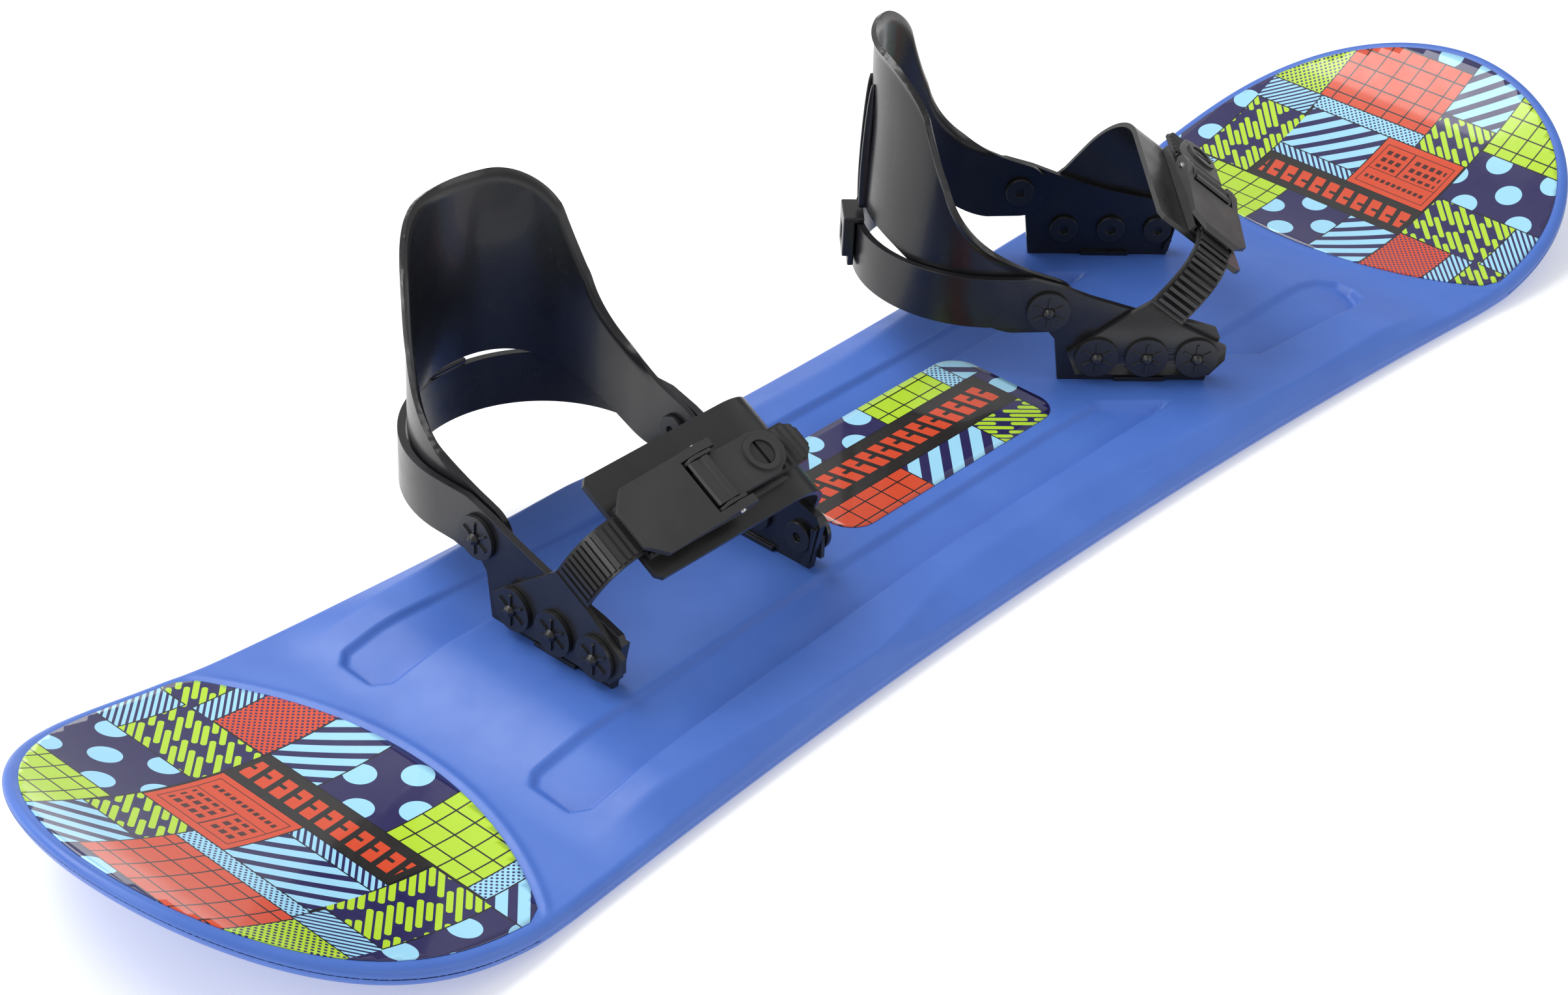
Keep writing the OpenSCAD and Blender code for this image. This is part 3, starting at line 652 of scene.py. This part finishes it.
def tip_patches():
    dots = [printed("navy_dots", c, (32.0, 32.9)) for c in ((-403.6, 71.4), (-329.3, 7.4), (-366.5, -92.6),
                                                            (-467.0, -8.8))]
    grid = printed("lime_grid", (-328.4, -46.3), (10.8, 10.7))
    far_grid = printed("lime_grid", (-438.8, 58.9), (9.5, 9.7))
    red_grid = printed("red_grid", (-444.5, -8.8), (9.8, 10.75))
    thin_up, thin_down = printed("thin_up"), printed("thin_down")
    thick_up = printed("thick_up", (2.0, 0), (8.5, 0))
    thick_down = printed("thick_down", (1.0, 0), (8.5, 0))
    dashes = printed("dashes_up")
    ice_pins, red_pins, lime_pins = printed("ice_pins"), printed("red_pins"), printed("lime_pins")
    badge = printed_badge(-410, -371, -7.5, 40.2)
    band = printed_band(-359.5, 6.4, (-51.5, 38), False)
    out = -480, -290, -130, 130
    return [
        (-385, -351, 88.5, out[3], thin_up), (-351, out[1], 85.2, out[3], dashes),
        (-350.4, out[1], 72.6, 85.2, thin_up), (-349.8, out[1], 41.2, 72.6, red_pins),
        (-385, -350, 41, 88.5, dashes), (-423.3, -385, 41, out[3], dots[0]),
        (out[0], -423.3, 41.7, out[3], far_grid), (out[0], -436, 8.8, 41.7, thick_down),
        (-436, -410, 8.8, 41, dashes), (-410, -371, -7.5, 40.2, badge), (-371, -347.6, -55, 41, band),
        (-347.6, out[1], 12, 41, thick_down), (-347.6, out[1], -28, 12, dots[1]),
        (-347.6, out[1], -73.8, -28, grid), (-347.6, out[1], -84, -73.8, ice_pins),
        (-349, out[1], out[2], -84, thick_up), (-403.4, -348.4, -88.6, -55.6, dashes),
        (out[0], -349, out[2], -88.6, dots[2]), (-419.3, -403.4, -90.5, -57.4, thin_down),
        (out[0], -419.3, -130, -59, lime_pins), (-462, -419.3, -59, 8.8, red_grid),
        (out[0], -462, -60, 8.8, dots[3]), (-419.3, -410, -57.4, 8.8, ice_pins),
        (-410, -379.2, -56.3, -7.5, thick_down), (-379.2, -371, -55.6, -7.5, thin_up),
    ]


def centre_shape():
    low, high = (Vector(c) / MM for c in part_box("centre_sticker"))
    corner = 14.0
    out = []
    for cx, cy, start in ((high.x - corner, high.y - corner, 0), (low.x + corner, high.y - corner, 90),
                          (low.x + corner, low.y + corner, 180), (high.x - corner, low.y + corner, 270)):
        for step in range(13):
            a = math.radians(start + 7.5 * step)
            out.append((cx + corner * math.cos(a), cy + corner * math.sin(a)))
    return out


def centre_patches():
    dots = printed("navy_dots", (-12.6, 21.3), (33.2, 28.6))
    end_dots = printed("navy_dots", (75.5, 5.6), (30.0, 61.0))
    return [
        (-90, -34.4, 21.2, 60, printed("thick_up", (3.0, 0), (10.3, 0))), (-34.4, 9.6, 21.2, 60, dots),
        (9.6, 56.6, 21.2, 60, printed("lime_grid", (28.1, 36.9), (11.05, 9.8))),
        (56.6, 66.4, 21.2, 60, printed("ice_pins")),
        (66.4, 90, 21.2, 60, printed("thick_down", (4.2, 0), (10.3, 0))),
        (-90, 71.6, -6.6, 21.2, printed_band(7.4, 7.2, (-62, 66), True)), (71.6, 90, -60, 21.2, end_dots),
        (-90, -14.2, -60, -6.6, printed("red_grid", (-35.4, -13.1), (11.1, 10.0))),
        (-14.2, 37.2, -60, -6.6, printed("thick_up", (-0.8, 0), (10.3, 0))),
        (37.2, 71.6, -60, -6.6, printed("dashes_down")),
    ]


# ---- bindings ----


def dress(node, material, bevel):
    """Gives a CAD node its material and softens its edges."""
    thing = nodes[node]
    thing.data.materials.clear()
    thing.data.materials.append(material)
    joined = thing.modifiers.new("join", "WELD")
    joined.merge_threshold = 0.004 * MM
    flat = thing.modifiers.new("flatten", "DECIMATE")
    flat.decimate_type = "DISSOLVE"
    flat.angle_limit = math.radians(0.6)
    if bevel:
        edge = thing.modifiers.new("edge", "BEVEL")
        edge.width = bevel * MM
        edge.segments = 3
        edge.limit_method = "ANGLE"
        edge.angle_limit = math.radians(32)
        edge.use_clamp_overlap = True
    thing.data.polygons.foreach_set("use_smooth", [True] * len(thing.data.polygons))
    even = thing.modifiers.new("normals", "WEIGHTED_NORMAL")
    even.keep_sharp = True


# ---- highbacks, in millimetres along the binding's own axes ----

PIVOT_Y, PIVOT_Z = 44.5, 37.7
ARM_RADIUS = 14.3
BACK_Y, BACK_RADIUS = 70.0, 58.2
BACK_WALL = 2.7
BACK_TOP = 148.2
BACK_HALF, BACK_CORNER = 46.0, 27.0
TAPER_START, TAPER_RISE, TAPER_SLOPE = 44.6, 9.0, 4.6
ARM_END_Y = 42.0
CROWN_LOW = ((42, 52), (69, 60), (93, 72), (98, 104))
CROWN_HIGH = ((98, 104), (101, 122), (104, 145), (112, 185))
HEM = ((60, 22.9), (84, 25), (108, 60), (130, 61))
RIM_FLARE, RIM_REACH = 1.5, 4.5
HOLLOW_DEPTH, HOLLOW_HEIGHT, HOLLOW_SPREAD = 0.9, 108, 26
RIB_SHIFT = 5.4
RIB_BOTTOM, RIB_GAP_TO_TOP = 60, 22
RIB_HEIGHT = 3.4
RIB_STEPS = 24


def bezier(controls, t):
    a, b, c, d = (np.array(point, float) for point in controls)
    t = np.asarray(t, float)[:, None]
    return (1 - t) ** 3 * a + 3 * (1 - t) ** 2 * t * b + 3 * (1 - t) * t**2 * c + t**3 * d


def binding_axes(side):
    """Rotation and origin of a binding's own axes, from its highback's hinge."""
    hinge = next(j for j in frame["joints"] if j["name"] == side + "_highback_fold")
    across = np.array(hinge["axis"][:2], float)
    across /= np.linalg.norm(across)
    turn = np.array([[across[0], -across[1], 0], [across[1], across[0], 0], [0, 0, 1]])
    pivot = np.array([0, PIVOT_Y, PIVOT_Z])
    return turn, np.array(hinge["pos_m"], float) / MM - turn @ pivot


def back_limits(x, y):
    """Lowest and highest height of the highback's shell over a point of its plan curve."""
    steps = np.linspace(0, 1, 60)
    crown = np.concatenate([bezier(CROWN_LOW, steps), bezier(CROWN_HIGH, steps)[1:]])
    hem = bezier(HEM, steps)
    reach = np.sqrt(np.clip(ARM_RADIUS**2 - (y - PIVOT_Y) ** 2, 0, None))
    high = np.where(y < ARM_END_Y, PIVOT_Z + reach, np.interp(y, crown[:, 0], crown[:, 1]))
    hem_y = [PIVOT_Y, *hem[:, 0]]
    hem_z = [PIVOT_Z - ARM_RADIUS, *hem[:, 1]]
    low = np.where(y < PIVOT_Y, PIVOT_Z - reach, np.interp(y, hem_y, hem_z))
    aside = np.abs(x)
    past_corner = np.clip(aside - (BACK_HALF - BACK_CORNER), 0, None)
    drop = np.sqrt(np.clip(BACK_CORNER**2 - past_corner**2, 0, None))
    corner_base = BACK_TOP - BACK_CORNER
    tapered = corner_base + TAPER_RISE - (aside - TAPER_START) * TAPER_SLOPE
    top = np.where(aside < TAPER_START, corner_base + drop, tapered)
    return low, np.minimum(high, top)


def back_plan():
    """The shell's plan curve: x, y, outward direction, and distance from the nearer arm's tip."""
    straight = BACK_Y - (PIVOT_Y - ARM_RADIUS)
    near_arm = straight * (1 - np.cos(np.linspace(0, math.pi / 2, 26)))
    bend = straight + np.linspace(0, BACK_RADIUS * math.pi / 2, 110)[1:]
    half = np.concatenate([near_arm, bend])
    run = np.concatenate([half, 2 * half[-1] - half[-2::-1]])
    from_tip = np.minimum(run, 2 * half[-1] - run)
    hand = np.where(run <= half[-1], -1.0, 1.0)
    angle = np.clip(from_tip - straight, 0, None) / BACK_RADIUS
    on_arm = from_tip < straight
    x = hand * BACK_RADIUS * np.cos(angle)
    y = np.where(on_arm, PIVOT_Y - ARM_RADIUS + from_tip, BACK_Y + BACK_RADIUS * np.sin(angle))
    out_x = np.where(on_arm, hand, hand * np.cos(angle))
    out_y = np.where(on_arm, 0.0, np.sin(angle))
    return x, y, out_x, out_y, from_tip


def soften_edges(thing, width, segments):
    edge = thing.modifiers.new("round", "BEVEL")
    edge.width = width * MM
    edge.segments = segments
    edge.limit_method = "ANGLE"
    return edge


def build_shell(side, material):
    """Highback as a thin shell with a flared rim and a shallow hollow. It has no rivet holes."""
    x, y, out_x, out_y, from_tip = back_plan()
    low, high = back_limits(x, y)
    rows, columns = 72, len(x)
    t = (1 - np.cos(np.linspace(0, math.pi, rows))) / 2
    z = low[:, None] + (high - low)[:, None] * t[None, :]
    at_rim = np.clip(1 - (high[:, None] - z) / RIM_REACH, 0, 1) ** 2
    flare = RIM_FLARE * at_rim * np.clip((from_tip[:, None] - 25) / 20, 0, 1)
    at_hollow = np.exp(-((z - HOLLOW_HEIGHT) / HOLLOW_SPREAD) ** 2) * np.clip((y[:, None] - 100) / 20, 0, 1)
    moved = flare - HOLLOW_DEPTH * at_hollow
    px = x[:, None] + out_x[:, None] * moved
    py = y[:, None] + out_y[:, None] * moved
    turn, origin = binding_axes(side)
    points = np.stack([px, py, z], 2).reshape(-1, 3) @ turn.T + origin
    first = (np.arange(columns - 1)[:, None] * rows + np.arange(rows - 1)[None, :]).ravel()
    faces = np.stack([first, first + rows, first + rows + 1, first + 1], 1).tolist()
    shell = mesh_object(side + "_highback_shell", points, faces, [material])
    heelward = Vector(turn @ np.array([0, 1, 0]))
    middle_face = shell.data.polygons[len(faces) // 2]
    wall = shell.modifiers.new("wall", "SOLIDIFY")
    wall.thickness = BACK_WALL * MM
    wall.offset = 1 if middle_face.normal.dot(heelward) < 0 else -1
    soften_edges(shell, 1.0, 3).angle_limit = math.radians(50)
    replace_node(shell, side + "_highback")


def build_ribs(side, material):
    """Two tapering ribs up the highback's outer face."""
    outer = BACK_Y + BACK_RADIUS
    points = []
    faces = []
    for shift in (-RIB_SHIFT, RIB_SHIFT):
        base = len(points)
        for step in range(RIB_STEPS + 1):
            part = step / RIB_STEPS
            height = RIB_BOTTOM + (BACK_TOP - RIB_GAP_TO_TOP - RIB_BOTTOM) * part
            reach = 0.3
            if part < 1:
                reach = RIB_HEIGHT * math.sin(math.pi * (0.12 + 0.88 * part) ** 0.6) ** 0.5
            centre = shift * (0.75 + 0.35 * part)
            for dx, dy in ((-1.1, -1.0), (-0.8, reach), (0.8, reach), (1.1, -1.0)):
                points.append((centre + dx, outer + dy, height))
        for step in range(RIB_STEPS):
            for corner in range(4):
                a = base + step * 4 + corner
                b = base + step * 4 + (corner + 1) % 4
                faces.append((a, b, b + 4, a + 4))
        last = base + RIB_STEPS * 4
        faces.append((base + 3, base + 2, base + 1, base))
        faces.append((last, last + 1, last + 2, last + 3))
    turn, origin = binding_axes(side)
    ribs = mesh_object(side + "_highback_ribs", np.array(points) @ turn.T + origin, faces, [material])
    soften_edges(ribs, 0.45, 2)
    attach(ribs, body_of_node[side + "_highback"])


def replace_node(thing, node):
    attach(thing, body_of_node[node])
    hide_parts(node)


def build_board():
    deck = build_deck(moulded("deck_blue", BLUE, srgb(75, 115, 200), 0.43, 0.05, 700.0, 0.00002))
    replace_node(deck, "board_deck")
    shape, patches = tip_shape(), tip_patches()
    replace_node(build_sticker("tail_print", shape, patches, False), "tail_sticker")
    replace_node(build_sticker("nose_print", shape, patches, True), "nose_sticker")
    replace_node(build_sticker("centre_print", centre_shape(), centre_patches(), False), "centre_sticker")


# dark and light tone, roughness and its spread, grain per metre and its depth in metres, coat, ripple
BLACKS = {
    "frame_black": ((0.010, 0.010, 0.012), (0.016, 0.016, 0.019), 0.27, 0.06, 900.0, 0.00003, 0.0, 1.5),
    "highback_black": ((0.007, 0.007, 0.009), (0.011, 0.011, 0.013), 0.29, 0.04, 900.0, 0.00002, 0.12, 1.5),
    "rivet_black": ((0.012, 0.012, 0.013), (0.02, 0.02, 0.022), 0.34, 0.06, 1500.0, 0.00003, 0.0, 0.0),
    "strap_black": ((0.016, 0.016, 0.017), (0.024, 0.024, 0.025), 0.31, 0.06, 1800.0, 0.00004, 0.0, 0.0),
    "buckle_black": ((0.022, 0.022, 0.023), (0.034, 0.034, 0.035), 0.42, 0.06, 2200.0, 0.00005, 0.0, 0.0),
}
EDGE_ROUNDING = {"frame": 0.8, "toe_pad": 0.7, "ladder": 0.35, "buckle_lever": 0.6, "release_tongue": 0.5,
                 "buckle_base": 0.3, "lean_clip": 0.8, "axle_pin": 0.0}
SMALL_ROUNDING = 0.4


def build_bindings():
    materials = {}
    for name, (dark, light, *finish) in BLACKS.items():
        materials[name] = moulded(name, (*dark, 1), (*light, 1), *finish)
    materials["axle_steel"] = steel("axle_steel")
    for side in ("rear", "front"):
        build_shell(side, materials["highback_black"])
        build_ribs(side, materials["highback_black"])
    for node in sorted(nodes):
        side, _, kind = node.partition("_")
        if side in ("rear", "front") and kind != "highback":
            dress(node, materials[slot_of_node[node]], EDGE_ROUNDING.get(kind, SMALL_ROUNDING))


# ---- studio ----


def area_light(name, place, aim, size, power):
    light = bpy.data.lights.new(name, "AREA")
    light.shape = "RECTANGLE"
    light.size, light.size_y = size
    light.energy = power
    thing = bpy.data.objects.new(name, light)
    bpy.context.scene.collection.objects.link(thing)
    thing.location = place
    thing.rotation_euler = (Vector(aim) - Vector(place)).to_track_quat("-Z", "Y").to_euler()


def build_studio():
    ground = deck_low.z * MM
    mesh = bpy.data.meshes.new("floor")
    reach = 9.0
    mesh.from_pydata([(-reach, -reach, ground), (reach, -reach, ground), (reach, reach, ground),
                      (-reach, reach, ground)], [], [(0, 1, 2, 3)])
    floor = bpy.data.objects.new("floor", mesh)
    bpy.context.scene.collection.objects.link(floor)
    paint = Shader("floor_paint", roughness=0.9)
    tone = paint.noise(paint.place((1, 1, 1)), 3.0, 2.0)
    paint.put(paint.surface.inputs["Base Color"],
              paint.mix(tone, (0.86, 0.86, 0.86, 1), (0.88, 0.88, 0.88, 1)))
    paint.surface.inputs["Emission Color"].default_value = (1.0, 1.0, 1.0, 1)
    paint.surface.inputs["Emission Strength"].default_value = 0.28
    mesh.materials.append(paint.material)
    world = bpy.data.worlds.new("studio")
    world.use_nodes = True
    world.node_tree.nodes["Background"].inputs["Color"].default_value = (1.0, 1.0, 1.0, 1)
    world.node_tree.nodes["Background"].inputs["Strength"].default_value = 0.5
    bpy.context.scene.world = world
    area_light("overhead", (-0.3, 1.3, 1.9), (0, 0, 0), (2.2, 1.4), 45)
    area_light("left", (-1.9, 0.3, 1.1), (0, 0, 0.05), (1.0, 1.4), 12)
    area_light("right", (0.9, -1.9, 1.0), (0, 0, 0.05), (1.6, 0.9), 7)
    bpy.context.scene.view_settings.view_transform = "Standard"


def build_camera():
    """Camera at the viewing angle, with a slight roll."""
    azimuth, elevation, roll = (math.radians(v) for v in (-49.61, 33.83, 2.86))
    target = Vector((-61.8, 21.7, 2.5)) * MM
    distance = 1443 * MM
    back = Vector((math.sin(azimuth) * math.cos(elevation), -math.cos(azimuth) * math.cos(elevation),
                   math.sin(elevation)))
    right = Vector((0, 0, 1)).cross(back).normalized()
    up = back.cross(right)
    turned_right = right * math.cos(roll) + up * math.sin(roll)
    turned_up = up * math.cos(roll) - right * math.sin(roll)
    camera = bpy.data.cameras.new("camera")
    camera.lens = 73.29
    camera.sensor_width = 36.0
    camera.clip_end = 50
    thing = bpy.data.objects.new("camera", camera)
    bpy.context.scene.collection.objects.link(thing)
    axes = Matrix((turned_right, turned_up, back)).transposed().to_4x4()
    thing.matrix_world = Matrix.Translation(target + back * distance) @ axes
    bpy.context.scene.camera = thing


build_board()
build_bindings()
build_studio()
build_camera()
